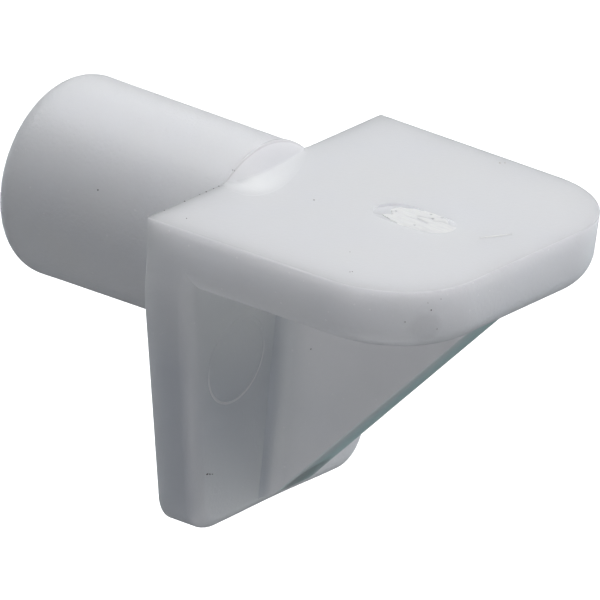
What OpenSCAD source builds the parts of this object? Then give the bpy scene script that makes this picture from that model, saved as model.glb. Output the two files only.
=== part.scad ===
// Shelf support pin with a ledge, moulded in one piece of translucent white plastic.
//
// A round pin pushes into a hole of the cabinet's side. A short wall lies flat against that side,
// the ledge above it carries the shelf, and a gusset under the ledge ties the two together.
// Frame: the pin's axis is the X axis and the pin points to -X. X = 0 is the wall's back face,
// +Z is up, and the part is symmetric about Y = 0. Millimetres.

/* [Pin] */
// Diameter of the pin
pin_d = 6.24; // [5.8:0.02:6.6]
// Length of the pin from the wall's back face
pin_len = 7.9; // [6:0.1:14]
// Rounding of the pin's free end
pin_nose_r = 0.95; // [0.5:0.05:1.4]
// Angle of the cone that closes the pin's root above the ledge
root_cone_angle = 122; // [100:1:130]

/* [Ledge] */
// Height of the ledge's top above the pin's axis
ledge_rise = 2.41; // [2.2:0.01:2.6]
// Thickness of the ledge
ledge_t = 2.1; // [1.9:0.05:2.4]
// Length of the ledge from the wall's back face to its front
ledge_len = 9.75; // [8.5:0.05:12]
// Width of the ledge
ledge_w = 11.64; // [11.5:0.02:12.5]
// Radius of the two front corners, seen from above
ledge_corner_r = 3.07; // [2:0.01:4]
// Rounding of the top edge
ledge_top_r = 0.15; // [0.05:0.01:0.25]
// Rounding of the bottom edge
ledge_under_r = 1; // [0.6:0.02:1.1]

/* [Wall] */
// Height of the wall's foot below the ledge's top
wall_h = 10.52; // [9.5:0.02:12]
// Depth below the ledge's top at which the wall begins to narrow
wall_bend = 2.51; // [2.5:0.01:3.2]
// Width of the wall where it begins to narrow
wall_bend_w = 11.48; // [11:0.02:11.6]
// Width of the wall at its foot, before the corners are rounded
wall_foot_w = 8.18; // [7.4:0.02:9.4]
// Radius of the two foot corners
wall_foot_r = 1.23; // [0.9:0.01:1.5]
// Thickness of the wall at the ledge's top
wall_top_t = 1.72; // [1.5:0.01:2]
// Thickness of the wall at its foot
wall_foot_t = 1.44; // [1.2:0.01:1.5]
// Rounding of the wall's inner edges
wall_edge_r = 0.47; // [0.2:0.01:0.6]
// Rise of the shallow arch in the wall's foot, between its two lobes
foot_arch = 0.09; // [0.05:0.01:0.15]

/* [Gusset] */
// Thickness of the gusset
gusset_t = 1.66; // [1.2:0.02:2]
// Distance from the ledge's front back to where the gusset runs out under it
gusset_setback = 0.85; // [0.8:0.05:2]
// Depth behind the wall's inner face at which the slanted face would meet the level of the foot
gusset_foot_inset = 0.19; // [0.05:0.01:0.3]
// Height of the gusset's toe above the wall's foot
gusset_toe_rise = 0.57; // [0.5:0.01:0.9]
// Rounding of the gusset's toe
gusset_toe_r = 0.9; // [0.6:0.05:1]
// Radius of the fillets between the gusset and the wall
gusset_fillet_r = 0.93; // [0.8:0.01:1.2]
// How far those fillets reach out along the gusset
gusset_fillet_reach = 0.7; // [0.4:0.05:0.75]
// Radius of the fillets between the gusset and the ledge
under_fillet_r = 0.4; // [0.2:0.05:0.6]

/* [Moulding marks] */
// Radius of the two round ejector marks on the wall's inner face
ejector_r = 1.35; // [1:0.01:1.4]
// Depth of the ejector marks
ejector_depth = 0.04; // [0.02:0.01:0.1]
// Distance of the ejector marks from the middle of the wall
ejector_y = 2.99; // [2.95:0.01:3.05]
// Depth of the ejector marks below the ledge's top
ejector_drop = 4.96; // [4.6:0.02:5.4]
// Distance from the wall's back face to the gate mark in the ledge's top
gate_x = 5.55; // [4.5:0.05:6]
// Radius of the gate's dimple
gate_r = 1.32; // [0.9:0.02:1.5]
// Depth of the gate's dimple
gate_depth = 0.16; // [0.08:0.01:0.25]
// Height of the bead round the pin's root, where the two halves of the mould met
seam_bead = 0.04; // [0.02:0.01:0.06]
// Slope of the low ramp in front of the pin's root, in degrees
ramp_slope = 6; // [4:0.5:9]
// How far the ramp reaches over the ledge
ramp_reach = 1.35; // [1:0.05:1.6]

/* [Hidden] */
$fn = 96;

// Levels, measured from the pin's axis
top_z = ledge_rise;
under_z = ledge_rise - ledge_t;
foot_z = ledge_rise - wall_h;

// Root of the pin: a narrow bead behind the wall's back face and a cone that runs on into the ledge
pin_r = pin_d / 2;
seam_w = 0.12;
root_cone_len = 0.6;
root_cone_end_r = pin_r - root_cone_len * tan(root_cone_angle / 2);

// The ramp is part of a wide, flat cone that stands upright, with its middle behind the wall.
// At the back face it is as wide as the part of the pin that rises above the ledge.
ramp_half_w = sqrt(pow(pin_r, 2) - pow(ledge_rise, 2)) - 0.01;
ramp_r = (pow(ramp_half_w, 2) + pow(ramp_reach, 2)) / (2 * ramp_reach);
ramp_h = 0.12;
ramp_sunk = 0.2;

// Centres of the ledge's corner arcs
corner_x = ledge_len - ledge_corner_r;
corner_y = ledge_w / 2 - ledge_corner_r;

// The wall's inner face leans back toward its foot, and its slab begins inside the ledge
wall_lean = atan((wall_top_t - wall_foot_t) / wall_h);
slab_depth = 3;
slab_top = ledge_t - 0.75 * ledge_under_r;
slab_top_half = ledge_w / 2 - 0.05;

// Gusset's slanted face runs up to the underside of the ledge from a toe above the wall's foot
gusset_foot_x = wall_foot_t - gusset_foot_inset;
gusset_top_x = ledge_len - gusset_setback;
gusset_rate = (gusset_top_x - gusset_foot_x) / (under_z - foot_z);
toe_z = foot_z + gusset_toe_rise;

// Wide cylinder that cuts the arch into the foot, and sphere that cuts the gate's dimple
arch_half = wall_foot_w / 2 - wall_foot_r;
arch_r = (pow(arch_half, 2) + pow(foot_arch, 2)) / (2 * foot_arch);
dimple_r = (pow(gate_r, 2) + pow(gate_depth, 2)) / (2 * gate_depth);

// Stub of plastic that is left in the dimple
gate_stub_r = 0.55;
gate_stub_top_r = 0.38;

// A length that reaches past the whole part
past = 30;

// Unit vector from p to q
function toward(p, q) = (q - p) / norm(q - p);

// Half the angle at corner p between the sides to a and b
function half_angle(p, a, b) = acos(toward(p, a) * toward(p, b)) / 2;

// Centre of the arc of radius r that touches both sides of corner p
function arc_centre(p, a, b, r) =
    p + toward([0, 0], toward(p, a) + toward(p, b)) * r / sin(half_angle(p, a, b));

// Point where that arc meets the side from p to a
function arc_end(p, a, b, r) = p + toward(p, a) * r / tan(half_angle(p, a, b));

// Convex outline with a true arc of radius radii[i] at corner i; a radius of 0 keeps it sharp
module rounded_outline(points, radii) {
    n = len(points);
    polygon([
        for (i = [0:n - 1])
            let (p = points[i], a = points[(i + n - 1) % n], b = points[(i + 1) % n], r = radii[i])
                each r == 0 ? [p] : [arc_end(p, a, b, r), arc_centre(p, a, b, r), arc_end(p, b, a, r)]
    ]);
    for (i = [0:n - 1])
        if (radii[i] > 0)
            corner_sector(points[i], points[(i + n - 1) % n], points[(i + 1) % n], radii[i]);
}

// Sector of a circle that fills the corner at p between its arc's centre and its two ends
module corner_sector(p, a, b, r) {
    centre = arc_centre(p, a, b, r);
    intersection() {
        translate(centre) circle(r);
        polygon([
            centre,
            centre + 2 * (arc_end(p, a, b, r) - centre),
            centre + 3 * (p - centre),
            centre + 2 * (arc_end(p, b, a, r) - centre)
        ]);
    }
}

// Direction of the path's side that starts at point i
function heading(path, i) = let (d = path[i + 1] - path[i]) atan2(d.y, d.x);

// Sweeps a section round the outside of a convex path that runs anticlockwise in X and Y.
// The section is drawn with its distance from the path as X and its height as Y.
module swept_rim(path) {
    for (i = [0:len(path) - 2])
        translate(path[i + 1])
            rotate([90, 0, heading(path, i) - 90])
                linear_extrude(norm(path[i + 1] - path[i]))
                    children();
    for (i = [1:len(path) - 2])
        translate(path[i])
            rotate([0, 0, heading(path, i - 1) - 90])
                rotate_extrude(angle = heading(path, i) - heading(path, i - 1))
                    children();
}

// Concave fillet along Z in the corner between the planes X = 0 and Y = 0, sunk a little into both.
// It leaves the plane X = 0 smoothly at Y = reach; only where reach is r does it meet Y = 0 so too.
module fillet_strip(r, reach, length) {
    sunk = 0.2;
    linear_extrude(length)
        difference() {
            translate([-sunk, -sunk]) square([r + sunk, reach + sunk]);
            translate([r, reach]) circle(r);
        }
}

// Round pin with a rounded free end, a bead at its root and the cone that closes it
module pin() {
    rotate([0, 90, 0]) rotate_extrude() {
        rounded_outline([[0, -pin_len], [pin_r, -pin_len], [pin_r, 0], [0, 0]], [0, pin_nose_r, 0, 0]);
        translate([0, -seam_w]) square([pin_r + seam_bead, seam_w]);
        polygon([[0, 0], [pin_r, 0], [root_cone_end_r, root_cone_len], [0, root_cone_len]]);
    }
}

// Low ramp that leads from the ledge's top up to the pin's root
module root_ramp() {
    run = 1 / tan(ramp_slope);
    intersection() {
        translate([ramp_reach - ramp_r, 0, top_z - ramp_sunk])
            cylinder(h = ramp_h + ramp_sunk, r1 = ramp_r + ramp_sunk * run, r2 = ramp_r - ramp_h * run);
        translate([0, -ramp_r, top_z - 2 * ramp_sunk]) cube([ramp_reach + 0.5, 2 * ramp_r, 1]);
    }
}

// Section of the ledge's rim, from the centre of a corner arc outward
module rim_section() {
    rim = ledge_corner_r;
    upright_z = under_z + ledge_under_r;
    translate([0, under_z]) square([rim - ledge_under_r, ledge_t]);
    translate([0, upright_z]) square([rim, ledge_t - ledge_under_r - ledge_top_r]);
    translate([0, upright_z]) square([rim - ledge_top_r, ledge_t - ledge_under_r]);
    intersection() {
        translate([rim - ledge_under_r, upright_z]) circle(ledge_under_r);
        translate([rim - ledge_under_r, under_z]) square(ledge_under_r);
    }
    intersection() {
        translate([rim - ledge_top_r, top_z - ledge_top_r]) circle(ledge_top_r);
        translate([rim - ledge_top_r, top_z - ledge_top_r]) square(ledge_top_r);
    }
}

// Flat ledge that the shelf lies on, drawn from a little behind the wall's back face
module ledge() {
    path = [[-0.5, -corner_y], [corner_x, -corner_y], [corner_x, corner_y], [-0.5, corner_y]];
    translate([0, 0, under_z]) linear_extrude(ledge_t) polygon(path);
    swept_rim(path) rim_section();
}

// Puts what is drawn in the wall's own plane in its place. There X runs along the part's Y axis,
// Y is the height from the ledge's top, and Z is the distance out of the wall's inner face.
module on_wall() {
    translate([wall_top_t, 0, top_z]) rotate([0, wall_lean, 0]) rotate([90, 0, 90]) children();
}

// Round post of the wall's full thickness, rounded round the edge of its inner face
module wall_post() {
    rotate_extrude()
        rounded_outline(
            [[0, -slab_depth], [wall_foot_r, -slab_depth], [wall_foot_r, 0], [0, 0]],
            [0, 0, wall_edge_r, 0]);
}

// Slab with slanted sides and two round lobes at its foot, drawn from behind the back face
module wall() {
    top = [slab_top_half, -slab_top];
    bend = [wall_bend_w / 2, -wall_bend];
    foot = [wall_foot_w / 2, -wall_h];
    posts = [
        [top.x - wall_foot_r, top.y],
        arc_centre(bend, foot, top, wall_foot_r),
        arc_centre(foot, [-foot.x, foot.y], bend, wall_foot_r)
    ];
    on_wall()
        hull()
            for (p = posts, side = [-1, 1])
                translate([side * p.x, p.y]) wall_post($fn = 64);
}

// Side view of the gusset in X and Z, extruded to a given width
module gusset_side(width) {
    above = 0.4;
    rotate([90, 0, 0])
        linear_extrude(width, center = true)
            rounded_outline(
                [
                    [0.5, toe_z],
                    [gusset_foot_x + gusset_toe_rise * gusset_rate, toe_z],
                    [gusset_top_x + above * gusset_rate, under_z + above],
                    [0.5, under_z + above]
                ],
                [0, gusset_toe_r, 0, 0]);
}

// One side's fillets: down the wall and along the underside of the ledge
module gusset_fillets() {
    on_wall()
        translate([gusset_t / 2, -wall_h - 1, 0])
            rotate([-90, 0, 0])
                mirror([0, 1, 0]) fillet_strip(gusset_fillet_r, gusset_fillet_reach, wall_h);
    translate([0.5, gusset_t / 2, under_z])
        rotate([90, 0, 90])
            mirror([0, 1, 0]) fillet_strip(under_fillet_r, under_fillet_r, ledge_len);
}

// Web that ties the ledge to the wall
module gusset() {
    gusset_side(gusset_t);
    intersection() {
        gusset_side(gusset_t + 2);
        union() {
            gusset_fillets();
            mirror([0, 1, 0]) gusset_fillets();
        }
    }
}

// Everything in front of the wall's back face, with the marks that the mould left in it
module holder() {
    difference() {
        union() {
            ledge();
            wall();
            gusset();
        }
        translate([-past, -past / 2, -past / 2]) cube(past);
        translate([-1, 0, foot_z + foot_arch - arch_r]) rotate([0, 90, 0]) cylinder(h = 4, r = arch_r);
        translate([gate_x, 0, top_z + dimple_r - gate_depth]) sphere(dimple_r);
        for (side = [-1, 1])
            on_wall()
                translate([side * ejector_y, -ejector_drop, -ejector_depth])
                    cylinder(h = 1, r = ejector_r);
    }
}

// Stub where the plastic was torn off at the gate, below the level of the ledge's top
module gate_stub() {
    translate([gate_x, 0, top_z - gate_depth - 0.1])
        cylinder(h = gate_depth + 0.06, r1 = gate_stub_r, r2 = gate_stub_top_r);
}

module support_body() {
    color([0.93, 0.94, 0.93]) {
        pin();
        holder();
        root_ramp();
        gate_stub();
    }
}

support_body();
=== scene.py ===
import math
import random

import bmesh
import bpy
from mathutils import Matrix, Vector, noise


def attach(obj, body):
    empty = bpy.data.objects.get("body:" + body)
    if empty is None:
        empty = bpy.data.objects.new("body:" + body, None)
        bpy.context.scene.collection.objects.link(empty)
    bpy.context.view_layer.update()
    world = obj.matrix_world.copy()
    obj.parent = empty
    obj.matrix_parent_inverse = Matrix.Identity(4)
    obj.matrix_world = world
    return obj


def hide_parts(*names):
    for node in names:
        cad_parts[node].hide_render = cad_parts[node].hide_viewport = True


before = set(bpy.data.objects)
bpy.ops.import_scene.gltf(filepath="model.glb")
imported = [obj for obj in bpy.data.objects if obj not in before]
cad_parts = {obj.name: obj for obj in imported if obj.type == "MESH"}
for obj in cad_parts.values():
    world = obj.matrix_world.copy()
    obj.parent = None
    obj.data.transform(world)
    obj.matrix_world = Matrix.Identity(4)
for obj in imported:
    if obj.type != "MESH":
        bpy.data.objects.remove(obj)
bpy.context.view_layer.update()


# ---------------------------------------------------------------------------
# Camera
# A long lens, a little over half a metre away, looks down at the ledge's near corner. It is
# rolled by a few degrees, and the part fills the frame from the pin's end to the ledge's corner.
# ---------------------------------------------------------------------------
MM = 0.001
CAMERA_AZIMUTH = math.radians(35.274)
CAMERA_ELEVATION = math.radians(22.588)
CAMERA_ROLL = math.radians(4.167)
CAMERA_DISTANCE = 573.5 * MM
CAMERA_LENS = 1150.8
CAMERA_TARGET = Vector((3.9, 0.0, -1.491)) * MM
CAMERA_SIDESTEP = -1.804 * MM
CAMERA_LIFT = 0.652 * MM

sa, ca = math.sin(CAMERA_AZIMUTH), math.cos(CAMERA_AZIMUTH)
se, ce = math.sin(CAMERA_ELEVATION), math.cos(CAMERA_ELEVATION)
camera_back = Vector((sa * ce, -ca * ce, se))
level = Vector((ca, sa, 0.0))
upright = camera_back.cross(level)
camera_right = level * math.cos(CAMERA_ROLL) + upright * math.sin(CAMERA_ROLL)
camera_up = upright * math.cos(CAMERA_ROLL) - level * math.sin(CAMERA_ROLL)

camera_data = bpy.data.cameras.new("camera")
camera_data.sensor_width = 36.0
camera_data.lens = CAMERA_LENS
camera_data.clip_start = 0.05
camera_data.clip_end = 10.0
camera = bpy.data.objects.new("camera", camera_data)
bpy.context.scene.collection.objects.link(camera)
camera.matrix_world = Matrix((camera_right, camera_up, camera_back)).transposed().to_4x4()
camera.location = (
    CAMERA_TARGET
    + camera_right * CAMERA_SIDESTEP
    + camera_up * CAMERA_LIFT
    + camera_back * CAMERA_DISTANCE
)
bpy.context.scene.camera = camera


# ---------------------------------------------------------------------------
# Floor
# A sheet of matt white card lies well below the part, which is held by its pin in use and so
# stands on nothing. It is seen from above only, so that the part can be looked at from below, and
# it throws no light on the part.
# ---------------------------------------------------------------------------
FLOOR_DROP = 60 * MM
FLOOR_RADIUS = 700 * MM
FLOOR_SIDES = 96
CARD_WHITE = "#F7F7F7"
CARD_GLOW = 0.9
CARD_CLOUDINESS = 0.01


def linear(hex_colour):
    """Linear RGBA of an sRGB hex colour."""
    parts = [int(hex_colour[i : i + 2], 16) / 255 for i in (1, 3, 5)]
    return [p / 12.92 if p <= 0.04045 else ((p + 0.055) / 1.055) ** 2.4 for p in parts] + [1.0]


def add_node(tree, kind, inputs=None, **settings):
    """Adds a node, sets its properties, and fills its inputs with values or other nodes' outputs."""
    node = tree.nodes.new(kind)
    for name, value in settings.items():
        setattr(node, name, value)
    for key, value in (inputs or {}).items():
        if isinstance(value, bpy.types.NodeSocket):
            tree.links.new(value, node.inputs[key])
        else:
            node.inputs[key].default_value = value
    return node


def new_material(name):
    """Empty node material and its tree."""
    material = bpy.data.materials.new(name)
    material.use_nodes = True
    material.node_tree.nodes.clear()
    return material, material.node_tree


def link_object(name, bm):
    """Turns a bmesh into an object of the scene."""
    mesh = bpy.data.meshes.new(name)
    bm.to_mesh(mesh)
    bm.free()
    obj = bpy.data.objects.new(name, mesh)
    bpy.context.scene.collection.objects.link(obj)
    return obj


bm = bmesh.new()
turns = [2 * math.pi * i / FLOOR_SIDES for i in range(FLOOR_SIDES)]
rim = [(FLOOR_RADIUS * math.cos(a), FLOOR_RADIUS * math.sin(a), -FLOOR_DROP) for a in turns]
bm.faces.new([bm.verts.new(point) for point in rim])
floor = link_object("floor", bm)

# Uncoated card: white and without gloss, faintly cloudy where its fibres lie, a millimetre apart
card, tree = new_material("matt_white_card")
coords = add_node(tree, "ShaderNodeTexCoord")
fibres = add_node(
    tree,
    "ShaderNodeTexNoise",
    {"Vector": coords.outputs["Object"], "Scale": 900.0, "Detail": 4.0},
)
glow = add_node(
    tree,
    "ShaderNodeMapRange",
    {
        "Value": fibres.outputs["Fac"],
        "To Min": CARD_GLOW - CARD_CLOUDINESS,
        "To Max": CARD_GLOW + CARD_CLOUDINESS,
    },
)
face = add_node(
    tree,
    "ShaderNodeBsdfPrincipled",
    {
        "Base Color": linear(CARD_WHITE),
        "Roughness": 0.9,
        "Specular IOR Level": 0.0,
        "Emission Color": linear(CARD_WHITE),
        "Emission Strength": glow.outputs["Result"],
    },
)
open_back = add_node(tree, "ShaderNodeBsdfTransparent")
side = add_node(tree, "ShaderNodeNewGeometry")
one_sided = add_node(
    tree,
    "ShaderNodeMixShader",
    {0: side.outputs["Backfacing"], 1: face.outputs[0], 2: open_back.outputs[0]},
)
add_node(tree, "ShaderNodeOutputMaterial", {"Surface": one_sided.outputs[0]})
floor.data.materials.append(card)
floor.visible_diffuse = False
floor.visible_glossy = False
floor.visible_shadow = False


# ---------------------------------------------------------------------------
# Light
# Round soft boxes, half a metre away. The main one stands high behind the ledge's front, a second
# hangs overhead, and weaker ones all round, above and below, fill the shadows.
# ---------------------------------------------------------------------------
BOX_DISTANCE = 0.5
ROOM_LIGHT = 0.023
ROOM_TINT = "#8FD6FF"
BACKDROP_WHITE = "#FFFFFF"
# Azimuth, from -Y round by +X, and elevation in degrees, power in watts, width in metres, colour
SOFT_BOXES = {
    "key": (135, 45, 1.16, 0.34, "#FCFAFF"),
    "overhead": (0, 90, 0.70, 0.34, "#FFFCFD"),
    "left_fill": (270, 45, 0.55, 0.34, "#F9FCFF"),
    "left_strip": (266, 58, 0.08, 0.20, "#FFFFFB"),
    "right_fill": (90, 45, 0.36, 0.34, "#FDF8FF"),
    "front_fill": (0, 5, 0.26, 0.34, "#FFFBFD"),
    "far_strip": (206, 35, 0.15, 0.20, "#FAFFF8"),
    "far_left_strip": (232, 12, 0.09, 0.20, "#FAFFFC"),
    "far_high_strip": (221, 37, 0.038, 0.14, "#FAFFFA"),
    "far_left_low": (238, -18, 0.30, 0.30, "#F4FBFF"),
    "far_low": (180, -20, 0.22, 0.34, "#EDF9FF"),
    "far_right_low": (157, -20, 0.16, 0.34, "#FBFFFE"),
    "right_low": (90, -20, 0.085, 0.34, "#FFF6F8"),
    "front_low": (0, -20, 0.20, 0.34, "#FBF6FF"),
    "right_bounce": (90, -45, 0.10, 0.34, "#F4FEFF"),
    "front_bounce": (45, -45, 0.19, 0.34, "#FFFFFC"),
    "far_bounce": (135, -45, 0.12, 0.34, "#EDF1FF"),
    "floor_bounce": (0, -90, 0.19, 0.34, "#FFFAFA"),
}

for name, (azimuth, elevation, watts, width, colour) in SOFT_BOXES.items():
    a, e = math.radians(azimuth), math.radians(elevation)
    toward = Vector((math.sin(a) * math.cos(e), -math.cos(a) * math.cos(e), math.sin(e)))
    data = bpy.data.lights.new(name, "AREA")
    data.shape = "DISK"
    data.size = width
    data.energy = watts
    data.color = linear(colour)[:3]
    box = bpy.data.objects.new(name, data)
    bpy.context.scene.collection.objects.link(box)
    box.location = toward * BOX_DISTANCE
    box.rotation_euler = toward.to_track_quat("Z", "Y").to_euler()
    box.visible_camera = False

# The room is dim and bluish, and it looks pure white where the camera sees past the part
world = bpy.data.worlds.new("room")
bpy.context.scene.world = world
world.use_nodes = True
tree = world.node_tree
tree.nodes.clear()
room = add_node(tree, "ShaderNodeBackground", {"Color": linear(ROOM_TINT), "Strength": ROOM_LIGHT})
backdrop = add_node(tree, "ShaderNodeBackground", {"Color": linear(BACKDROP_WHITE), "Strength": 1.0})
path = add_node(tree, "ShaderNodeLightPath")
seen = add_node(
    tree,
    "ShaderNodeMixShader",
    {0: path.outputs["Is Camera Ray"], 1: room.outputs[0], 2: backdrop.outputs[0]},
)
add_node(tree, "ShaderNodeOutputWorld", {"Surface": seen.outputs[0]})
bpy.context.scene.view_settings.view_transform = "Standard"


# ---------------------------------------------------------------------------
# Pin
# A solid peg that is pushed into the cabinet's hole. It was moulded with the rest in one shot: its
# free end is rounded, and a hair-thin bead runs round its root where the two halves of the mould
# met.
# ---------------------------------------------------------------------------
PIN_ROOT_R = 3.09
PIN_TIP_R = 3.145
PIN_LENGTH = 7.9
PIN_NOSE_R = 0.95
BEAD_WIDTH = 0.1
BEAD_HEIGHT = 0.035


def solid(name, rings):
    """Closed form through rings of points in millimetres, all with one count, capped at both ends."""
    bm = bmesh.new()
    rows = [[bm.verts.new(Vector(p) * MM) for p in ring] for ring in rings]
    count = len(rings[0])
    for low, high in zip(rows, rows[1:]):
        for i in range(count):
            j = (i + 1) % count
            bm.faces.new((low[i], low[j], high[j], high[i]))
    bm.faces.new(rows[0][::-1])
    bm.faces.new(rows[-1])
    bmesh.ops.recalc_face_normals(bm, faces=bm.faces)
    return link_object(name, bm)


def arc(centre, radius, start, end, steps):
    """Points on a circle in a plane, between two angles in degrees."""
    angles = [math.radians(start + (end - start) * i / steps) for i in range(steps + 1)]
    return [(centre[0] + radius * math.cos(a), centre[1] + radius * math.sin(a)) for a in angles]


def turned(name, section, steps=256):
    """Turns points (x, radius) about the X axis into a closed form."""
    angles = [2 * math.pi * i / steps for i in range(steps)]
    return solid(name, [[(x, r * math.sin(a), r * math.cos(a)) for a in angles] for x, r in section])


nose_centre_r = PIN_TIP_R - PIN_NOSE_R
pin_section = [(-PIN_LENGTH, nose_centre_r * f) for f in (0.02, 0.3, 0.6, 0.85)]
pin_section += arc((-PIN_LENGTH + PIN_NOSE_R, nose_centre_r), PIN_NOSE_R, 180, 90, 18)
pin_section += [
    (-x, PIN_ROOT_R + (PIN_TIP_R - PIN_ROOT_R) * x / PIN_LENGTH)
    for x in (6.2, 5.4, 4.6, 3.8, 3.0, 2.2, 1.4, 0.6, BEAD_WIDTH + 0.03)
]
pin_section += [
    (-BEAD_WIDTH, PIN_ROOT_R + 0.6 * BEAD_HEIGHT),
    (-0.7 * BEAD_WIDTH, PIN_ROOT_R + BEAD_HEIGHT),
    (-0.15 * BEAD_WIDTH, PIN_ROOT_R + BEAD_HEIGHT),
    (0.004, PIN_ROOT_R + 0.4 * BEAD_HEIGHT),
]
# The root ends inside the ledge and the wall
pin_section += [(0.005, PIN_ROOT_R - 0.09), (0.006, 2.2), (0.4, 1.6), (0.45, 0.1)]
pin = turned("moulded_body", pin_section)


# ---------------------------------------------------------------------------
# Ledge
# The flat tongue that the shelf lies on, part of the same moulding. Its top edge is crisp, its
# underside is well rounded, and its sides have draft so that it left the mould.
# ---------------------------------------------------------------------------
TOP_Z = 2.41
LEDGE_THICKNESS = 2.1
LEDGE_LENGTH = 9.755
LEDGE_BACK_HALF = 5.85
LEDGE_FRONT_HALF = 5.77
LEDGE_CORNER_R = 3.07
LEDGE_CORNER_GROWTH = 0.12
LEDGE_SIDE_DRAFT = 0.14
LEDGE_FRONT_DRAFT = -0.03
LEDGE_TOP_R = 0.065
LEDGE_FRONT_TOP_R = 0.04
LEDGE_BACK_TOP_R = 0.016
LEDGE_UNDER_R = 0.94
BACK_EDGE_R = 0.06

UNDER_Z = TOP_Z - LEDGE_THICKNESS
LEDGE_TOE = math.atan((LEDGE_BACK_HALF - LEDGE_FRONT_HALF) / (LEDGE_LENGTH - LEDGE_CORNER_R))


def ledge_outline(back_in, side_in, front_in, corner_r):
    """The ledge seen from above, pulled in by these amounts, from its near back corner round."""
    half = LEDGE_BACK_HALF - side_in
    corner_x = LEDGE_LENGTH - front_in - corner_r
    corner_y = half - corner_x * math.tan(LEDGE_TOE) - corner_r / math.cos(LEDGE_TOE)
    near = arc((back_in + BACK_EDGE_R, -(half - BACK_EDGE_R)), BACK_EDGE_R, -180, -90, 6)
    near += [
        (corner_x * f, -(half - corner_x * f * math.tan(LEDGE_TOE)))
        for f in (0.1, 0.3, 0.5, 0.7, 0.85)
    ]
    near += arc((corner_x, -corner_y), corner_r, -90 + math.degrees(LEDGE_TOE), 0, 40)
    return near + [(x, -y) for x, y in reversed(near)]


# Levels from the underside up: height, how far back, sides and front are pulled in, corner radius
ledge_levels = []
for i in range(19):
    a = math.radians(90 * (1 - i / 18))
    z = UNDER_Z + LEDGE_UNDER_R * (1 - math.sin(a))
    inset = LEDGE_UNDER_R * (1 - math.cos(a))
    ledge_levels.append((z, 0.0, inset, inset, LEDGE_CORNER_R + LEDGE_CORNER_GROWTH - inset))
for i in range(9):
    a = math.radians(90 * i / 8)
    z = TOP_Z - LEDGE_TOP_R * (1 - math.sin(a))
    rolled = 1 - math.cos(a)
    insets = [r * rolled for r in (LEDGE_BACK_TOP_R, LEDGE_TOP_R, LEDGE_FRONT_TOP_R)]
    ledge_levels.append((z, *insets, LEDGE_CORNER_R - LEDGE_TOP_R * rolled))

ledge_rings = []
for z, back_in, side_in, front_in, corner_r in ledge_levels:
    down = (TOP_Z - z) / LEDGE_THICKNESS
    side_in += LEDGE_SIDE_DRAFT * down
    front_in += LEDGE_FRONT_DRAFT * down
    outline = ledge_outline(back_in, side_in, front_in, corner_r)
    ledge_rings.append([(x, y, z) for x, y in outline])
ledge = solid("ledge", ledge_rings)


# ---------------------------------------------------------------------------
# Root of the pin above the ledge
# The pin stands proud of the ledge's top. Its end is cut off in a steep slope, and a low swelling
# leads up to the foot of that slope from the ledge. The swelling's outline is part of a long
# ellipse that lies askew, as the mould's insert left it, and it dies out towards its near tip.
# ---------------------------------------------------------------------------
# Middle of the ellipse, its half axes and its turn
RAMP_CENTRE = (-1.683, 1.753)
RAMP_LONG_HALF = 4.877
RAMP_SHORT_HALF = 1.629
RAMP_ANGLE = math.radians(-35.15)
RAMP_NEAR_Y = -2.335
RAMP_FAR_Y = 2.115
RAMP_SLOPE = math.tan(math.radians(9.0))
# Distance in which the slope sets in, the share of it that is lost per millimetre on the far half,
# and the distance from the near tip in which the swelling dies out
RAMP_EASE = 0.25
RAMP_EASE_LOSS = 0.35
RAMP_FADE = 1.3
# Distance of the cut's foot from the back face, as powers of y, and where that foot runs out
CUT_FOOT = (0.3225, -0.1035, -0.0191, 0.0214, -0.0105)
CUT_END_Y = 1.94
CUT_LEAST_SLOPE = 0.3
CUT_BLEND = 0.04
# Level inside the ledge at which the form ends
ROOT_SUNK_Z = 2.0

ramp_s, ramp_c = math.sin(RAMP_ANGLE), math.cos(RAMP_ANGLE)


def ramp_span(y):
    """Where the ellipse begins and ends, in front of the wall's back face, on the line at this y."""
    dy = y - RAMP_CENTRE[1]
    a, b = RAMP_LONG_HALF**2, RAMP_SHORT_HALF**2
    square = ramp_s**2 / a + ramp_c**2 / b
    half = dy * ramp_c * ramp_s * (1 / a - 1 / b)
    rest = dy**2 * (ramp_c**2 / a + ramp_s**2 / b) - 1
    spread = math.sqrt(max(half**2 - square * rest, 0.0))
    begin, end = (-half - spread) / square + RAMP_CENTRE[0], (-half + spread) / square + RAMP_CENTRE[0]
    return max(begin, 0.0), end


def ramp_height(x, y):
    """Height of the swelling above the ledge: an eased slope up from its far outline."""
    turn = (ramp_span(y + 0.01)[1] - ramp_span(y - 0.01)[1]) / 0.02
    inset = max(ramp_span(y)[1] - x, 0.0) / math.hypot(1.0, turn)
    ease = RAMP_EASE * (1 - RAMP_EASE_LOSS * max(y, 0.0))
    fade = min((y - RAMP_NEAR_Y) / RAMP_FADE, 1.0)
    return RAMP_SLOPE * (inset - ease * (1 - math.exp(-inset / ease))) * fade**2 * (3 - 2 * fade)


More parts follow.
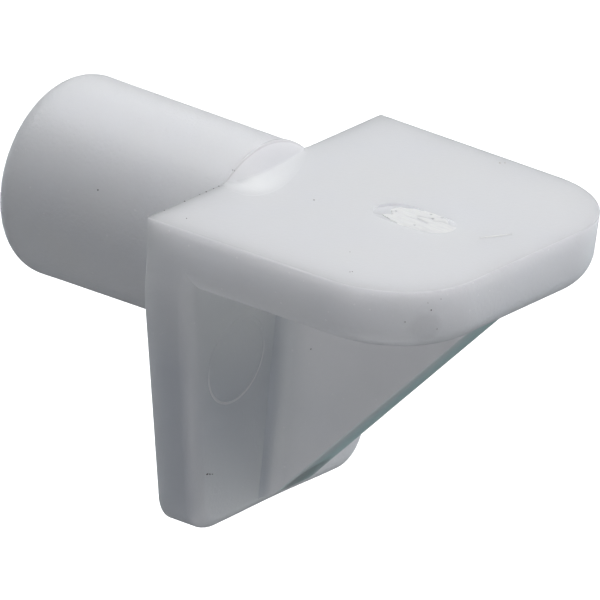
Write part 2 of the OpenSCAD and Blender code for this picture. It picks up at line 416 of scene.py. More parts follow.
root_rings = []
for i in range(181):
    y = RAMP_NEAR_Y + (RAMP_FAR_Y - RAMP_NEAR_Y) * i / 180
    pin_rise = math.sqrt(PIN_ROOT_R**2 - y**2) - TOP_Z
    near_x, far_x = ramp_span(y)
    foot_x = sum(share * y**power for power, share in enumerate(CUT_FOOT))
    foot_x = max(foot_x * (1 - (y / CUT_END_Y) ** 20), 0.01)
    fall = max((pin_rise - ramp_height(foot_x, y)) / foot_x, CUT_LEAST_SLOPE)
    blend = max(min(CUT_BLEND, 0.3 * pin_rise), 0.0005)
    ring = [(near_x, y, ROOT_SUNK_Z)]
    for j in range(37):
        x = near_x + (far_x - near_x) * (j / 36) ** 1.3
        # Even where it has died out, the swelling stays a hair above the ledge's own top
        low = ramp_height(x, y) + 0.002
        # The cut and the swelling run into each other in a small hollow
        steep = (pin_rise - fall * x - low) / blend
        over = blend * (math.log(1 + math.exp(steep)) if steep < 30 else steep)
        ring.append((x, y, TOP_Z + low + over))
    root_rings.append(ring + [(far_x + 0.04, y, TOP_Z - 0.01), (far_x + 0.04, y, ROOT_SUNK_Z)])
root = solid("root", root_rings)


# ---------------------------------------------------------------------------
# Wall
# The short plate that lies against the cabinet's side. It narrows to two round lobes at its foot,
# it is thinner there, and its inner edges are rounded.
# ---------------------------------------------------------------------------
WALL_HEIGHT = 10.52
WALL_BEND = 2.51
WALL_BEND_LENGTH = 0.6
WALL_BEND_HALF = 5.74
WALL_FOOT_HALF = 4.09
WALL_FOOT_R = 1.23
WALL_TOP_THICKNESS = 1.72
WALL_FOOT_THICKNESS = 1.435
WALL_EDGE_R = 0.47
WALL_ARCH = 0.04

FOOT_Z = TOP_Z - WALL_HEIGHT


def wall_inner_x(z):
    """Where the wall's inner face stands at height z."""
    return WALL_TOP_THICKNESS - (WALL_TOP_THICKNESS - WALL_FOOT_THICKNESS) * (TOP_Z - z) / WALL_HEIGHT


def wall_face_x(z):
    """The same, where the inner face rolls back into the foot."""
    low = min(max((FOOT_Z + WALL_ARCH + WALL_EDGE_R - z) / WALL_EDGE_R, 0.0), 1.0)
    return wall_inner_x(z) - WALL_EDGE_R * (1 - math.sqrt(1 - low * low))


def wall_outline(inset):
    """The wall seen from the front, pulled in by inset, from its near top down and round the foot."""
    lean = math.atan((WALL_BEND_HALF - WALL_FOOT_HALF) / (WALL_HEIGHT - WALL_BEND))
    lobe_y = WALL_FOOT_HALF - WALL_FOOT_R / math.tan((math.pi / 2 + lean) / 2)
    lobe_centre = (-lobe_y, FOOT_Z + WALL_FOOT_R)
    lobe = arc(lobe_centre, WALL_FOOT_R - inset, 180 + math.degrees(lean), 270, 24)
    bend_half = WALL_BEND_HALF - inset / math.cos(lean / 2)
    near = [(-(bend_half + 0.02), TOP_Z - 0.9)]
    # A short curve turns the upright side into the slanted one
    for f in [i / 8 for i in range(9)]:
        out = bend_half - math.tan(lean) * 0.5 * WALL_BEND_LENGTH * f * f
        near.append((-out, TOP_Z - WALL_BEND + WALL_BEND_LENGTH * (0.5 - f)))
    (start_y, start_z), (end_y, end_z) = near[-1], lobe[0]
    for f in (0.2, 0.4, 0.6, 0.8):
        near.append((start_y + (end_y - start_y) * f, start_z + (end_z - start_z) * f))
    near += lobe
    for f in [i / 12 for i in range(1, 12)]:
        rise = WALL_ARCH * 0.5 * (1 - math.cos(math.pi * f))
        near.append((-lobe_y * (1 - f), FOOT_Z + inset + rise))
    return near + [(0.0, FOOT_Z + inset + WALL_ARCH)] + [(-y, z) for y, z in reversed(near)]


wall_rings = []
for i in range(5):
    a = math.radians(90 * i / 4)
    outline = wall_outline(BACK_EDGE_R * (1 - math.sin(a)))
    wall_rings.append([(BACK_EDGE_R * (1 - math.cos(a)), y, z) for y, z in outline])
for i in range(15):
    a = math.radians(90 * i / 14)
    depth = WALL_EDGE_R * (1 - math.sin(a))
    outline = wall_outline(WALL_EDGE_R * (1 - math.cos(a)))
    wall_rings.append([(wall_inner_x(z) - depth, y, z) for y, z in outline])
wall = solid("wall", wall_rings)


# ---------------------------------------------------------------------------
# Gusset
# The web between the ledge and the wall, which stops the ledge from bending under the shelf. It
# meets both in fillets, and its slanted face runs from a rounded toe above the wall's foot to the
# ledge's front.
# ---------------------------------------------------------------------------
GUSSET_HALF = 0.83
GUSSET_TOP_X = 8.9
GUSSET_FOOT_X = 1.3
GUSSET_EDGE_R = 0.07
TOE_RISE = 0.43
TOE_R = 1.1
WALL_FILLET_R = 0.93
WALL_FILLET_REACH = 0.7
LEDGE_FILLET_R = 0.4
# How far the web runs on into the wall and into the ledge
GUSSET_SUNK = 0.3

GUSSET_RATE = (GUSSET_TOP_X - GUSSET_FOOT_X) / (UNDER_Z - FOOT_Z)
GUSSET_STEEPNESS = math.hypot(1, GUSSET_RATE)
TOE_Z = FOOT_Z + TOE_RISE
TOE_CENTRE_Z = TOE_Z + TOE_R
TOE_CENTRE_X = GUSSET_FOOT_X + GUSSET_RATE * (TOE_CENTRE_Z - FOOT_Z) - TOE_R * GUSSET_STEEPNESS


def gusset_face_x(z):
    """Where the gusset's slanted face stands at height z, with the rounding of its toe."""
    if z > TOE_CENTRE_Z - TOE_R * GUSSET_RATE / GUSSET_STEEPNESS:
        return GUSSET_FOOT_X + GUSSET_RATE * (z - FOOT_Z)
    return TOE_CENTRE_X + math.sqrt(TOE_R**2 - (TOE_CENTRE_Z - z) ** 2)


def gusset_ring(z):
    """The gusset cut level at height z, from the far side of the wall round its slanted face."""
    half = GUSSET_HALF
    reach = LEDGE_FILLET_R - max(UNDER_Z - z, 0.0)
    if reach > 0:
        half += LEDGE_FILLET_R - math.sqrt(LEDGE_FILLET_R**2 - reach**2)
    wall_x = wall_face_x(z)
    face_x = gusset_face_x(z)
    # The fillet meets the wall at an angle, and the slanted face cuts it off where it nears the wall
    width = min(WALL_FILLET_REACH, max(face_x - wall_x, 0.02))
    start = 180 + math.degrees(math.acos(WALL_FILLET_REACH / WALL_FILLET_R))
    end = 180 + math.degrees(math.acos((WALL_FILLET_REACH - width) / WALL_FILLET_R))
    centre = (wall_x + WALL_FILLET_REACH, half + WALL_FILLET_R)
    fillet = arc(centre, WALL_FILLET_R, start, end, 14)
    edge_r = min(GUSSET_EDGE_R, max(face_x - wall_x - width, 0.001))
    edge = arc((face_x - edge_r, fillet[-1][1] - edge_r), edge_r, 90, 0, 5)
    far = [(wall_x - GUSSET_SUNK, fillet[0][1])] + fillet + edge
    return [(x, y, z) for x, y in far + [(x, -y) for x, y in reversed(far)]]


web_height = UNDER_Z - LEDGE_FILLET_R - 0.02 - TOE_Z
gusset_levels = [TOE_Z + 0.004 + web_height * (i / 70) ** 1.8 for i in range(71)]
gusset_levels += [UNDER_Z - LEDGE_FILLET_R * (1 - i / 12) for i in range(13)]
gusset = solid("gusset", [gusset_ring(z) for z in gusset_levels + [UNDER_Z + GUSSET_SUNK]])


# ---------------------------------------------------------------------------
# The whole moulding
# One shot of natural polypropylene, so the forms above become one skin. The mould's two ejector
# pins left round marks on the wall, and the plastic's inlet was torn off in a dimple in the ledge.
# ---------------------------------------------------------------------------
EJECTOR_R = 1.315
EJECTOR_Y = 2.99
EJECTOR_Z = TOP_Z - 4.96
EJECTOR_DEPTH = 0.02
EJECTOR_LIP_HEIGHT = 0.025
# Section of the lip round a mark: heights as shares of the lip's, and distances from the mark
EJECTOR_LIP = [(-8, 0.1), (0, 0.1), (0.5, 0.08), (0.9, 0.06), (1, 0.045), (0.9, 0.03), (0.5, 0.015)]
# The same for the mark's floor and rounded side, as shares of its depth, until clear of the wall
EJECTOR_POCKET = [(-1, -0.06), (-0.5, -0.03), (0, -0.01), (50, 0.01)]
# The dimple is a short slot, deepest where one of its sides drops upright
DIMPLE_CENTRE = (5.65, -0.085)
DIMPLE_LENGTH = 1.32
DIMPLE_R = 0.72
DIMPLE_DEPTH = 0.10
DIMPLE_UPRIGHT_SIDE = math.radians(140)


def combine(base, tool, operation):
    """Joins or cuts base with tool, keeps the result in base and removes the tool."""
    modifier = base.modifiers.new(operation, "BOOLEAN")
    modifier.operation = operation
    modifier.solver = "EXACT"
    modifier.object = tool
    evaluated = base.evaluated_get(bpy.context.evaluated_depsgraph_get())
    result = bpy.data.meshes.new_from_object(evaluated)
    base.modifiers.clear()
    base.data = result
    bpy.data.objects.remove(tool)


def on_wall(name, centre_y, centre_z, section):
    """Round form on the wall's inner face, from its heights above the face and its radii."""
    rings = []
    for height, radius in section:
        circle = arc((centre_y, centre_z), radius, 0, 360, 128)[:-1]
        rings.append([(wall_inner_x(z) + height, y, z) for y, z in circle])
    return solid(name, rings)


for part in (ledge, root, wall, gusset):
    combine(pin, part, "UNION")

for side_y in (-EJECTOR_Y, EJECTOR_Y):
    lip = [(h * EJECTOR_LIP_HEIGHT, EJECTOR_R + out) for h, out in EJECTOR_LIP]
    combine(pin, on_wall("ejector_lip", side_y, EJECTOR_Z, lip), "UNION")
    pocket = [(h * EJECTOR_DEPTH, EJECTOR_R + out) for h, out in EJECTOR_POCKET]
    combine(pin, on_wall("ejector_mark", side_y, EJECTOR_Z, pocket), "DIFFERENCE")

dimple_rings = []
for f in (0.05, 0.3, 0.5, 0.65, 0.75, 0.82, 0.88, 0.92, 0.96, 1.0, 1.004):
    ring = []
    for t in [2 * math.pi * j / 128 for j in range(128)]:
        along = max(min(3 * math.cos(t), 1.0), -1.0)
        x = DIMPLE_CENTRE[0] + f * (DIMPLE_LENGTH / 2 * along + DIMPLE_R * math.cos(t))
        y = DIMPLE_CENTRE[1] + f * DIMPLE_R * math.sin(t)
        toward = math.cos(t - DIMPLE_UPRIGHT_SIDE)
        # The other sides run out gently
        steepness = max(toward, 0.0) ** 0.7
        depth = DIMPLE_DEPTH * (0.55 + 0.45 * f * toward) * (1 - (1 - steepness) * f**4) + 0.002
        ring.append((x, y, TOP_Z - depth if f <= 1 else TOP_Z + 0.002))
    dimple_rings.append(ring)
dimple_rings.append([(x, y, TOP_Z + 0.5) for x, y, _ in dimple_rings[-1]])
combine(pin, solid("dimple", dimple_rings), "DIFFERENCE")

body = pin
body.data.shade_smooth()
body.data.set_sharp_from_angle(angle=math.radians(24))
weighted = body.modifiers.new("weighted", "WEIGHTED_NORMAL")
weighted.keep_sharp = True
weighted.weight = 100

# Natural polypropylene, moulded in a steel mould: milky, so that light spreads some two millimetres
# inside it and its shadows are soft, with a satin gloss that follows the finish of the steel
PLASTIC_WHITE = "#EFF0EE"
PLASTIC_COOL = "#EDEFF2"
# Painted highlights: the white of the pale specks and of the rings round the ejector marks
PAINTED_HIGHLIGHT_WHITE = "#FFFFFF"
# Painted light on the web's sides under the ledge
WEB_PAINTED_GLOW = "#FDFDFC"
# Painted shade on the wall's sides
WALL_SIDE_PAINTED_SHADE = "#D7DADE"
# Painted shade on the wall's inner face
WALL_FACE_PAINTED_SHADE = "#E3E5E8"
# Painted reflection on the web's slanting edge
EDGE_PAINTED_REFLECTION = "#C9E4E1"
# Grey of the dark patches, and of the painted shade in the pin's seam
DARK_PATCH_AND_SHADE_GREY = "#8E8A88"
# Painted shade on the dimple's upright side
DIMPLE_PAINTED_SHADE = "#A3A1AD"
PLASTIC_IOR = 1.49
LIGHT_SPREAD = 2.3 * MM
GRAIN_DEPTH = 0.022 * MM
ROUGHNESS_SIDES = 0.34
ROUGHNESS_TOP = 0.21
ROUGHNESS_GRAINED = 0.38
ROUGHNESS_CUT = 0.6
SEAM_HALF_WIDTH = 0.018
SEAM_SHADE = 0.22
DIMPLE_SHADE_STRENGTH = 0.22
SPECK_HIGHLIGHT_STRENGTH = 0.6
RING_OUT = 0.045
RING_HALF_WIDTH = 0.038
# Middle of each dark patch and how far it reaches, in millimetres, and its strength
DARK_PATCHES = [((2.3, 0.1, -7.0), 1.05, 0.6), ((9.3, -4.3, 1.2), 0.6, 0.10)]
# Height at which the painted shade on the wall's inner face is darkest
DIM_Z = -4.2

plastic, tree = new_material("moulded_polypropylene")
coords = add_node(tree, "ShaderNodeTexCoord")
in_mm = add_node(
    tree, "ShaderNodeVectorMath", {0: coords.outputs["Object"], "Scale": 1000.0}, operation="SCALE"
)
place = add_node(tree, "ShaderNodeSeparateXYZ", {0: in_mm.outputs[0]})
facing = add_node(tree, "ShaderNodeSeparateXYZ", {0: coords.outputs["Normal"]})
off_axis = add_node(tree, "ShaderNodeMath", {0: place.outputs["Y"]}, operation="ABSOLUTE")
aside = add_node(tree, "ShaderNodeMath", {0: facing.outputs["Y"]}, operation="ABSOLUTE")
above_dim = add_node(tree, "ShaderNodeMath", {0: place.outputs["Z"], 1: -DIM_Z}, operation="ADD")
off_dim = add_node(tree, "ShaderNodeMath", {0: above_dim.outputs[0]}, operation="ABSOLUTE")

# Soft masks: each grows from 0 to 1 as a place in millimetres or a facing goes from start to end
mask = {}
for name, value, start, end in (
    ("pin", place.outputs["X"], -0.05, -0.15),
    ("facing the front", facing.outputs["X"], 0.45, 0.8),
    ("facing up", facing.outputs["Z"], 0.9, 0.97),
    ("facing aside or down", facing.outputs["Z"], 0.7, 0.4),
    ("sloping", facing.outputs["Z"], 0.95, 0.85),
    ("steep", facing.outputs["Z"], 0.9, 0.6),
    ("facing sideways", aside.outputs[0], 0.3, 0.8),
    ("turned forward", facing.outputs["X"], 0.2, 0.7),
    ("in the wall", place.outputs["X"], 1.75, 1.55),
    ("at the wall", place.outputs["X"], 2.0, 1.75),
    ("down the wall", place.outputs["Z"], 0.5, -2.5),
    ("mid height", off_dim.outputs[0], 3.2, 0.5),
    ("clear of the wall", place.outputs["X"], 1.9, 2.6),
    ("up the web", place.outputs["Z"], -4.5, -0.5),
    ("below the ledge's middle", place.outputs["Z"], 0.5, 0.2),
    ("lower half of the ring", place.outputs["Z"], EJECTOR_Z + 0.3, EJECTOR_Z - 0.6),
):
    mask[name] = add_node(
        tree, "ShaderNodeMapRange", {"Value": value, "From Min": start, "From Max": end}
    )

# Hard masks: each is 1 where the comparison holds
for name, value, limit, comparison in (
    ("ahead of the back face", place.outputs["X"], 0.0, "GREATER_THAN"),
    ("ahead of the wall's core", place.outputs["X"], 1.0, "GREATER_THAN"),
    ("far out on the ledge", place.outputs["X"], 6.0, "GREATER_THAN"),
    ("proud of the ledge", place.outputs["Z"], TOP_Z + 0.01, "GREATER_THAN"),
    ("under the ledge", place.outputs["Z"], UNDER_Z, "LESS_THAN"),
    ("within the web's width", off_axis.outputs[0], GUSSET_HALF + 0.03, "LESS_THAN"),
):
    mask[name] = add_node(tree, "ShaderNodeMath", {0: value, 1: limit}, operation=comparison)

# Spark-eroded grain, strong on the pin and on the ledge's front and faint elsewhere. Its pits are
# some 0.05 mm wide, and they are drawn 0.12 mm wide so that they show.
front = add_node(
    tree,
    "ShaderNodeMath",
    {0: mask["facing the front"].outputs[0], 1: mask["far out on the ledge"].outputs[0]},
    operation="MULTIPLY",
)
eroded = add_node(
    tree, "ShaderNodeMath", {0: mask["pin"].outputs[0], 1: front.outputs[0]}, operation="MAXIMUM"
)
grain = add_node(
    tree,
    "ShaderNodeTexNoise",
    {"Vector": in_mm.outputs[0], "Scale": 8.0, "Detail": 3.0, "Roughness": 0.65},
)
faint = add_node(
    tree,
    "ShaderNodeMapRange",
    {"Value": mask["facing aside or down"].outputs[0], "To Min": 0.15, "To Max": 0.5},
)
relief = add_node(
    tree, "ShaderNodeMapRange", {"Value": eroded.outputs[0], "To Min": faint.outputs[0], "To Max": 1.0}
)
height = add_node(
    tree, "ShaderNodeMath", {0: grain.outputs["Fac"], 1: relief.outputs[0]}, operation="MULTIPLY"
)
bump = add_node(
    tree, "ShaderNodeBump", {"Height": height.outputs[0], "Strength": 1.0, "Distance": GRAIN_DEPTH}
)

# The polished top is glossier than the walls, the grained faces are duller, and the pin's cut end,
# which a cutter left, is dullest
gloss = add_node(
    tree,
    "ShaderNodeMapRange",
    {
        "Value": mask["facing up"].outputs[0],
        "To Min": ROUGHNESS_SIDES,
        "To Max": ROUGHNESS_TOP,
    },
)
grained = add_node(
    tree,
    "ShaderNodeMix",
    {"Factor": eroded.outputs[0], "A": gloss.outputs[0], "B": ROUGHNESS_GRAINED},
)
cut_slope = add_node(
    tree,
    "ShaderNodeMath",
    {0: mask["sloping"].outputs[0], 1: mask["proud of the ledge"].outputs[0]},
    operation="MULTIPLY",
)
cut_end = add_node(
    tree,
    "ShaderNodeMath",
    {0: cut_slope.outputs[0], 1: mask["ahead of the back face"].outputs[0]},
    operation="MULTIPLY",
)
roughness = add_node(
    tree,
    "ShaderNodeMix",
    {"Factor": cut_end.outputs[0], "A": grained.outputs["Result"], "B": ROUGHNESS_CUT},
)

# Cloudy tint of the plastic, a few millimetres across
cloud = add_node(
    tree, "ShaderNodeTexNoise", {"Vector": in_mm.outputs[0], "Scale": 0.35, "Detail": 3.0}
)
skin = add_node(
    tree,
    "ShaderNodeMix",
    {"Factor": cloud.outputs["Fac"], "A": linear(PLASTIC_WHITE), "B": linear(PLASTIC_COOL)},
    data_type="RGBA",
)

# Fine specks of about 0.06 mm, some 0.4 mm apart
cells = add_node(tree, "ShaderNodeTexVoronoi", {"Vector": in_mm.outputs[0], "Scale": 2.4})
speck = add_node(
    tree,
    "ShaderNodeMapRange",
    {"Value": cells.outputs["Distance"], "From Min": 0.10, "From Max": 0.05},
)

# Plane of the web's slanting edge
edge_normal = (1 / GUSSET_STEEPNESS, 0.0, -GUSSET_RATE / GUSSET_STEEPNESS)
edge_offset = (GUSSET_FOOT_X - GUSSET_RATE * FOOT_Z) / GUSSET_STEEPNESS
along_normal = add_node(
    tree, "ShaderNodeVectorMath", {0: in_mm.outputs[0], 1: edge_normal}, operation="DOT_PRODUCT"
)
on_edge = add_node(
    tree,
    "ShaderNodeMath",
    {0: along_normal.outputs["Value"], 1: edge_offset, 2: 0.04},
    operation="COMPARE",
)
to_far_side = add_node(
    tree,
    "ShaderNodeMapRange",
    {"Value": place.outputs["Y"], "From Min": -0.8, "From Max": 0.3, "To Min": 0.35},
)

# Ring round each ejector mark, the neighbourhood of the dimple's upright side, and the pin's seam
from_middle = add_node(
    tree, "ShaderNodeCombineXYZ", {"Y": off_axis.outputs[0], "Z": place.outputs["Z"]}
)
off_mark = add_node(
    tree,
    "ShaderNodeVectorMath",
    {0: from_middle.outputs[0], 1: (0.0, EJECTOR_Y, EJECTOR_Z)},
    operation="DISTANCE",
)
in_ring = add_node(
    tree,
    "ShaderNodeMath",
    {0: off_mark.outputs["Value"], 1: EJECTOR_R + RING_OUT, 2: RING_HALF_WIDTH},
    operation="COMPARE",
)
upright_side = (DIMPLE_CENTRE[0] - 0.7, DIMPLE_CENTRE[1], TOP_Z)
off_side = add_node(
    tree, "ShaderNodeVectorMath", {0: in_mm.outputs[0], 1: upright_side}, operation="DISTANCE"
)
near_dimple = add_node(
    tree, "ShaderNodeMath", {0: off_side.outputs["Value"], 1: 1.3}, operation="LESS_THAN"
)
in_seam = add_node(
    tree,
    "ShaderNodeMath",
    {0: place.outputs["X"], 1: 0.005, 2: SEAM_HALF_WIDTH},
    operation="COMPARE",
)

# Tints that lie over the plastic, one on the other: where, how strong and which
tints = [
    # Painted highlights: pale specks on the sides, standing in for glints off their grain
    ([speck, mask["facing aside or down"]], SPECK_HIGHLIGHT_STRENGTH, PAINTED_HIGHLIGHT_WHITE),
    # Painted shade: the thin wall's sides are painted a shade darker than the rest, growing darker
    # below the ledge
    (
        [
            mask["facing sideways"],
            mask["in the wall"],
            mask["down the wall"],
            mask["ahead of the back face"],
        ],
        1.0,
        WALL_SIDE_PAINTED_SHADE,
    ),
    # Painted shade: the wall's inner face is painted darkest at mid height, beside the web
    ([mask["turned forward"], mask["at the wall"], mask["mid height"]], 1.0, WALL_FACE_PAINTED_SHADE),
    # Painted reflection: the web's slanting edge is tinted sea-green, more towards its far side, for
    # the teal it reflects when seen edge-on
    (
        [on_edge, mask["within the web's width"], mask["under the ledge"], to_far_side],
        1.0,
        EDGE_PAINTED_REFLECTION,
    ),
    # Painted light: the web's sides are painted palest just under the ledge, for light that comes down
    # through the ledge
    (
        [
            mask["clear of the wall"],
            mask["up the web"],
            mask["facing sideways"],
            mask["below the ledge's middle"],
        ],
        1.0,
        WEB_PAINTED_GLOW,
    ),
]
# A darker patch on the gusset's toe and a faint one on the ledge's near front corner, both patchy
patchy = add_node(
    tree, "ShaderNodeTexNoise", {"Vector": in_mm.outputs[0], "Scale": 3.0, "Detail": 4.0}
)
for spot, reach, strength in DARK_PATCHES:
    away = add_node(tree, "ShaderNodeVectorMath", {0: in_mm.outputs[0], 1: spot}, operation="DISTANCE")
    ragged = add_node(
        tree,
        "ShaderNodeMath",
        {0: patchy.outputs["Fac"], 1: 0.5 * reach, 2: away.outputs["Value"]},
        operation="MULTIPLY_ADD",
    )
    dark_patch = add_node(
        tree,
        "ShaderNodeMapRange",
        {"Value": ragged.outputs[0], "From Min": 1.25 * reach, "From Max": 0.9 * reach},
    )
    tints.append(([dark_patch, mask["facing the front"]], strength, DARK_PATCH_AND_SHADE_GREY))
tints += [
    # Painted highlight: the lower half of a ring round each ejector mark is painted white, where its
    # lip catches the light
    (
        [in_ring, mask["ahead of the wall's core"], mask["lower half of the ring"]],
        1.0,
        PAINTED_HIGHLIGHT_WHITE,
    ),
    # Painted shade: the dimple's upright side and the steep faces near it are painted darker
    ([near_dimple, mask["steep"]], DIMPLE_SHADE_STRENGTH, DIMPLE_PAINTED_SHADE),
    # Painted shade: a dark hairline in the seam at the pin's root, where its narrow gap is shaded
    ([in_seam], SEAM_SHADE, DARK_PATCH_AND_SHADE_GREY),
]
for places, strength, colour in tints:
    amount = strength
    for there in places:
        both = add_node(
            tree, "ShaderNodeMath", {0: there.outputs[0], 1: amount}, operation="MULTIPLY"
        )
        amount = both.outputs[0]
    skin = add_node(
        tree,
        "ShaderNodeMix",
        {"Factor": amount, "A": skin.outputs["Result"], "B": linear(colour)},
        data_type="RGBA",
    )

shader = add_node(
    tree,
    "ShaderNodeBsdfPrincipled",
    {
        "Base Color": skin.outputs["Result"],
        "Roughness": roughness.outputs["Result"],
        "IOR": PLASTIC_IOR,
        "Subsurface Weight": 1.0,
        "Subsurface Radius": (1.0, 1.0, 1.0),
        "Subsurface Scale": LIGHT_SPREAD,
        "Normal": bump.outputs[0],
    },
)
add_node(tree, "ShaderNodeOutputMaterial", {"Surface": shader.outputs[0]})
body.data.materials.clear()
body.data.materials.append(plastic)

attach(body, "root")
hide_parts("support_body")


# ---------------------------------------------------------------------------
# Gate scar
# What is left in the dimple where the plastic's inlet was torn off: a ragged stub, whitened by the
# tear, with grooves drawn out along the ledge and a few pits that hold dust.
# ---------------------------------------------------------------------------
SCAR_CENTRE = (5.86, -0.06)
SCAR_OUTLINE = [
    (4.70, 0.00), (4.74, 0.15), (4.80, 0.32), (5.01, 0.44), (5.36, 0.57), (5.62, 0.63),
    (5.97, 0.66), (6.15, 0.62), (6.44, 0.48), (6.62, 0.34), (7.00, 0.26), (7.06, -0.06),
    (7.00, -0.24), (6.89, -0.40), (6.77, -0.52), (6.38, -0.67), (6.05, -0.73), (5.81, -0.76),
    (5.64, -0.79), (5.33, -0.68), (5.10, -0.59), (4.76, -0.48), (4.94, -0.31), (4.86, -0.11),
]
SCAR_GROOVES = [
    ((5.74, -0.03), (6.11, -0.09)), ((5.61, 0.13), (6.02, 0.31)), ((6.15, 0.18), (6.40, 0.33)),
    ((6.40, 0.33), (6.86, 0.29)),
]
SCAR_PITS = [
    (4.73, 0.28), (4.90, -0.01), (4.94, -0.28), (5.95, -0.50), (6.02, 0.32), (5.81, 0.53),
    (6.18, 0.58),
]
GROOVE_HALF_WIDTH = 0.05
GROOVE_DEPTH = 0.02
GROOVE_DUST = 0.22
PIT_R = 0.033
PIT_DEPTH = 0.03
PIT_DUST = 0.9
# Height of the stub's crown above the ledge's top, the share of the way out at which it begins to
# fall off, and how far it falls
SCAR_HEIGHT = 0.008
SCAR_SHOULDER = 0.75
SCAR_FALL = 0.014

# The outline as directions and distances from its centre, running on past half a turn both ways
polar = sorted(
    (math.atan2(y - SCAR_CENTRE[1], x - SCAR_CENTRE[0]), math.dist((x, y), SCAR_CENTRE))
    for x, y in SCAR_OUTLINE
)
before, after = polar[-1], polar[0]
polar = [(before[0] - 2 * math.pi, before[1])] + polar + [(after[0] + 2 * math.pi, after[1])]


def scar_reach(angle):
    """Distance from the scar's centre to its outline in a given direction."""
    for (a0, r0), (a1, r1) in zip(polar, polar[1:]):
        if a0 <= angle <= a1:
            return r0 + (r1 - r0) * (angle - a0) / (a1 - a0)


def off_line(x, y, start, end):
    """Distance of a point from a short line."""
    run = (end[0] - start[0], end[1] - start[1])
    t = ((x - start[0]) * run[0] + (y - start[1]) * run[1]) / (run[0] ** 2 + run[1] ** 2)
    t = min(max(t, 0.0), 1.0)
    return math.hypot(x - start[0] - run[0] * t, y - start[1] - run[1] * t)


def scar_point(angle, f):
    """Point on the scar's top, a fraction f of the way out to its edge, and how much dust is there."""
    ragged = 1 + 0.05 * noise.noise(Vector((5 * math.cos(angle), 5 * math.sin(angle), 0.7)))
    r = f * scar_reach(angle) * ragged
    x, y = SCAR_CENTRE[0] + r * math.cos(angle), SCAR_CENTRE[1] + r * math.sin(angle)
    groove = max(math.exp(-((off_line(x, y, *g) / GROOVE_HALF_WIDTH) ** 2)) for g in SCAR_GROOVES)
    pit = max(math.exp(-((math.dist((x, y), p) / PIT_R) ** 2)) for p in SCAR_PITS)
    # Fibres drawn out along the ledge, a coarse and a fine set
    coarse = noise.noise(Vector((1.1 * x - 0.4 * y, 7.0 * y + 1.0 * x, 2.0)))
    fine = noise.noise(Vector((4.0 * x, 17.0 * y, 5.0)))
    fall = max(f - SCAR_SHOULDER, 0.0) / (1 - SCAR_SHOULDER)
    h = SCAR_HEIGHT - SCAR_FALL * fall**2 + (0.02 * coarse + 0.008 * fine) * (1 - fall)
    h -= GROOVE_DEPTH * groove + PIT_DEPTH * pit
    return (x, y, TOP_Z + h), min(1.0, GROOVE_DUST * groove + PIT_DUST * pit)


angles = [2 * math.pi * i / 240 - math.pi for i in range(240)]
edge = [scar_point(a, 1.0)[0] for a in angles]
scar_rings = [[(x, y, TOP_Z - 0.3) for x, y, _ in edge]]
dust = [0.0] * len(angles)
for f in [1.0, 0.97, 0.94, 0.9] + [0.87 - 0.03 * i for i in range(29)]:
    ring = [scar_point(a, f) for a in angles]
    scar_rings.append([point for point, _ in ring])
    dust += [held for _, held in ring]
scar = solid("gate_scar", scar_rings)
layer = scar.data.attributes.new("dust", "FLOAT", "POINT")
layer.data.foreach_set("value", dust)
scar.data.shade_smooth()
scar.data.set_sharp_from_angle(angle=math.radians(50))
# The stub is thin and lets light through, so it throws no shadow into the dimple
scar.visible_shadow = False

# The same plastic, torn: opaque white where it was strained, and dull, with fibres of about 0.05 mm
# that run along the ledge
TORN_WHITE = "#FDFFFA"
TORN_GREY = "#F0F1F1"
DUST_GREY = "#80808A"
TORN_ROUGHNESS = 0.55
# Patterns per metre along the ledge, across it and upward
FIBRE_SCALE = (2500.0, 22000.0, 9000.0)

torn, tree = new_material("torn_polypropylene")
coords = add_node(tree, "ShaderNodeTexCoord")
drawn_out = add_node(
    tree, "ShaderNodeVectorMath", {0: coords.outputs["Object"], 1: FIBRE_SCALE}, operation="MULTIPLY"
)
fibres = add_node(
    tree,
    "ShaderNodeTexNoise",
    {"Vector": drawn_out.outputs[0], "Scale": 1.0, "Detail": 4.0, "Roughness": 0.6},
)
bump = add_node(
    tree, "ShaderNodeBump", {"Height": fibres.outputs["Fac"], "Strength": 1.0, "Distance": 0.02 * MM}
)
shade = add_node(
    tree, "ShaderNodeMapRange", {"Value": fibres.outputs["Fac"], "From Min": 0.35, "From Max": 0.7}
)
white = add_node(
    tree,
    "ShaderNodeMix",
    {"Factor": shade.outputs[0], "A": linear(TORN_GREY), "B": linear(TORN_WHITE)},
    data_type="RGBA",
)
held = add_node(tree, "ShaderNodeAttribute", attribute_name="dust")
dusty = add_node(
    tree,
    "ShaderNodeMix",
    {"Factor": held.outputs["Fac"], "A": white.outputs["Result"], "B": linear(DUST_GREY)},
    data_type="RGBA",
)
shader = add_node(
    tree,
    "ShaderNodeBsdfPrincipled",
    {
        "Base Color": dusty.outputs["Result"],
        "Roughness": TORN_ROUGHNESS,
        "IOR": PLASTIC_IOR,
        "Normal": bump.outputs[0],
    },
)
add_node(tree, "ShaderNodeOutputMaterial", {"Surface": shader.outputs[0]})
scar.data.materials.append(torn)
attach(scar, "root")


# ---------------------------------------------------------------------------
# Scratch
# A short scratch on the ledge's top, near its front. The plastic is whitened and pushed up into a
# hair-thin burr along it.
# ---------------------------------------------------------------------------
SCRATCH_START = Vector((7.884, 0.073, TOP_Z))
SCRATCH_END = Vector((8.412, 1.065, TOP_Z))
SCRATCH_HALF_WIDTH = 0.06
SCRATCH_HEIGHT = 0.015
# Section of the burr: shares of its half width, and heights in millimetres
SCRATCH_SECTION = [
    (-1.0, -0.02), (-0.8, 0.4 * SCRATCH_HEIGHT), (-0.2, SCRATCH_HEIGHT), (0.5, 0.7 * SCRATCH_HEIGHT),
    (1.0, -0.02), (0.0, -0.05),
]

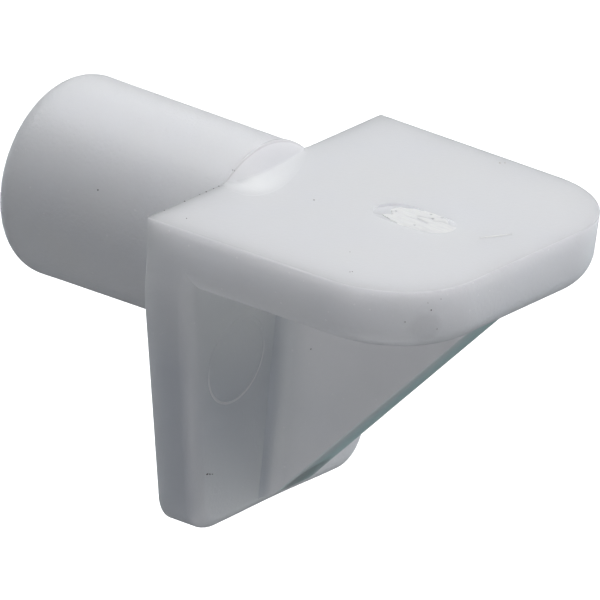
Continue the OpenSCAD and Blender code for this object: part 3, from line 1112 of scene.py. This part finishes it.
run = SCRATCH_END - SCRATCH_START
across = Vector((-run.y, run.x, 0.0)).normalized()
scratch_rings = []
for i in range(33):
    f = i / 32
    uneven = 1 + 0.3 * noise.noise(Vector((9 * f, 0, 0)))
    wide = SCRATCH_HALF_WIDTH * max(math.sin(math.pi * f), 0.05) ** 0.5 * uneven
    middle = SCRATCH_START + run * f + across * 0.012 * noise.noise(Vector((4 * f, 3, 0)))
    scratch_rings.append([middle + across * wide * u + Vector((0, 0, h)) for u, h in SCRATCH_SECTION])
scratch = solid("scratch_burr", scratch_rings)
scratch.data.materials.append(torn)
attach(scratch, "root")


# ---------------------------------------------------------------------------
# Specks
# Small lumps on the part: dark grit that clings to its faces and edges after use, dark specks
# along the pin's seam, and a little pale dust.
# ---------------------------------------------------------------------------
# Place and radius of each grain, in millimetres
DARK_GRAINS = [
    (0.876, -5.05, 2.41, 0.022), (2.672, -5.79, 2.348, 0.025), (5.854, -3.581, 2.41, 0.015),
    (6.779, -4.82, 2.41, 0.018), (6.81, -4.75, 2.41, 0.015), (2.674, -1.119, 2.41, 0.018),
    (2.758, -0.83, -2.479, 0.022), (-4.019, -2.867, 1.226, 0.022), (1.50, -3.94, -6.01, 0.026),
    (1.50, -3.81, -6.05, 0.03), (1.50, -3.68, -6.09, 0.022), (9.29, -4.282, 2.022, 0.016),
    (9.339, -4.171, 1.78, 0.028), (9.49, -3.915, 2.104, 0.016), (8.852, -4.764, 1.422, 0.018),
    (9.429, -3.916, 1.123, 0.016), (0.03, -5.03, 2.41, 0.02), (0.03, -4.03, 2.41, 0.022),
    (0.03, -3.28, 2.41, 0.018), (0.03, -2.96, 2.41, 0.026), (0.03, -2.6, 2.41, 0.02),
    (0.03, -2.34, 2.41, 0.024),
]
# Dark specks on the seam at the pin's root: angle from straight up, in degrees, and radius
SEAM_CHIPS = [
    (-30.2, 0.032), (-13.3, 0.034), (9.4, 0.03), (-43.3, 0.04), (-38.0, 0.018), (-20.0, 0.018),
    (2.0, 0.016),
]
PALE_GRAINS = [(4.85, 5.306, 2.41, 0.03), (4.955, 5.417, 2.41, 0.025)]
GRIT_BROWN = "#4A4040"
GRIT_GREY = "#8A8480"
DUST_WHITE = "#F5F3EC"


def grains(name, spots, colour, seed):
    """One object of small lumps, each of its own shape, of dull and unevenly coloured mineral grit."""
    rng = random.Random(seed)
    bm = bmesh.new()
    for x, y, z, r in spots:
        made = bmesh.ops.create_icosphere(bm, subdivisions=2, radius=r * MM)["verts"]
        stretch = Vector((rng.uniform(0.8, 1.5), rng.uniform(0.7, 1.2), rng.uniform(0.5, 0.8)))
        turn = Matrix.Rotation(rng.uniform(0, math.pi), 3, "Z")
        offset = Vector((rng.uniform(0, 9), rng.uniform(0, 9), rng.uniform(0, 9)))
        for v in made:
            lumpy = 1 + 0.5 * noise.noise(v.co * (0.9 / (r * MM)) + offset)
            v.co = turn @ (v.co * stretch * lumpy) + Vector((x, y, z)) * MM
    obj = link_object(name, bm)
    obj.data.shade_smooth()
    material, tree = new_material(name.replace("grains", "grit"))
    coords = add_node(tree, "ShaderNodeTexCoord")
    # Flecks of about 0.03 mm, as large as the grains themselves
    flecks = add_node(
        tree,
        "ShaderNodeTexNoise",
        {"Vector": coords.outputs["Object"], "Scale": 30000.0, "Detail": 2.0},
    )
    tone = add_node(
        tree,
        "ShaderNodeMix",
        {"Factor": flecks.outputs["Fac"], "A": linear(colour), "B": linear(GRIT_GREY)},
        data_type="RGBA",
    )
    shader = add_node(
        tree,
        "ShaderNodeBsdfPrincipled",
        {"Base Color": tone.outputs["Result"], "Roughness": 0.8, "IOR": 1.5},
    )
    add_node(tree, "ShaderNodeOutputMaterial", {"Surface": shader.outputs[0]})
    obj.data.materials.append(material)
    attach(obj, "root")


chips = []
for from_top, r in SEAM_CHIPS:
    a = math.radians(from_top)
    chips.append((-0.03, (PIN_ROOT_R + 0.01) * math.sin(a), (PIN_ROOT_R + 0.01) * math.cos(a), r))
grains("dark_grains", DARK_GRAINS + chips, GRIT_BROWN, 3)
grains("pale_grains", PALE_GRAINS, DUST_WHITE, 5)
